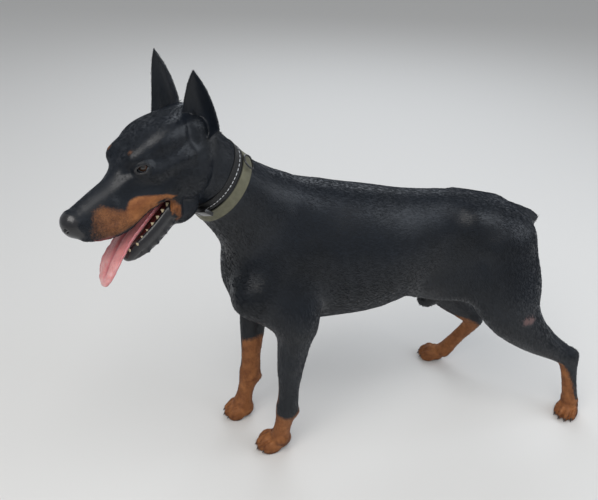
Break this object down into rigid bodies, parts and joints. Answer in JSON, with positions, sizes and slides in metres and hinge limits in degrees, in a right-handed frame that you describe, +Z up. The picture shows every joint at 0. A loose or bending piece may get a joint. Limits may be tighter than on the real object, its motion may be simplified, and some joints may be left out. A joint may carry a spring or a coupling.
{
  "type": "doberman pinscher",
  "caption": "Standing black and rust dog with cropped ears, a docked tail, an open mouth with its tongue out, and two collars; a still figure.",
  "frame": {"origin": "centre of the bounding box, at the floor the paws stand on", "axes": "+Z up; the dog faces -X and its own left side is at -Y; +X runs from head to tail"},
  "size_m": [1.2106, 0.4662, 0.982],
  "materials": {
    "coat": "short glossy black fur with rust markings",
    "tongue": "moist pink flesh",
    "eye": "clear wet dark brown",
    "strap": "flat olive strap",
    "webbing": "woven black webbing",
    "wire": "black wire",
    "buckle": "moulded black"
  },
  "bodies": {
    "root": {"torso": "coat", "neck": "coat", "head": "coat", "jaw": "coat", "tongue": "tongue", "ear_left": "coat", "ear_right": "coat", "eye_left": "eye", "eye_right": "eye", "tail": "coat", "foreleg_left": "coat", "foreleg_right": "coat", "hindleg_left": "coat", "hindleg_right": "coat", "collar_wide": "strap", "collar_narrow": "webbing", "collar_ring": "wire", "collar_buckle": "buckle"}
  },
  "joints": []
}
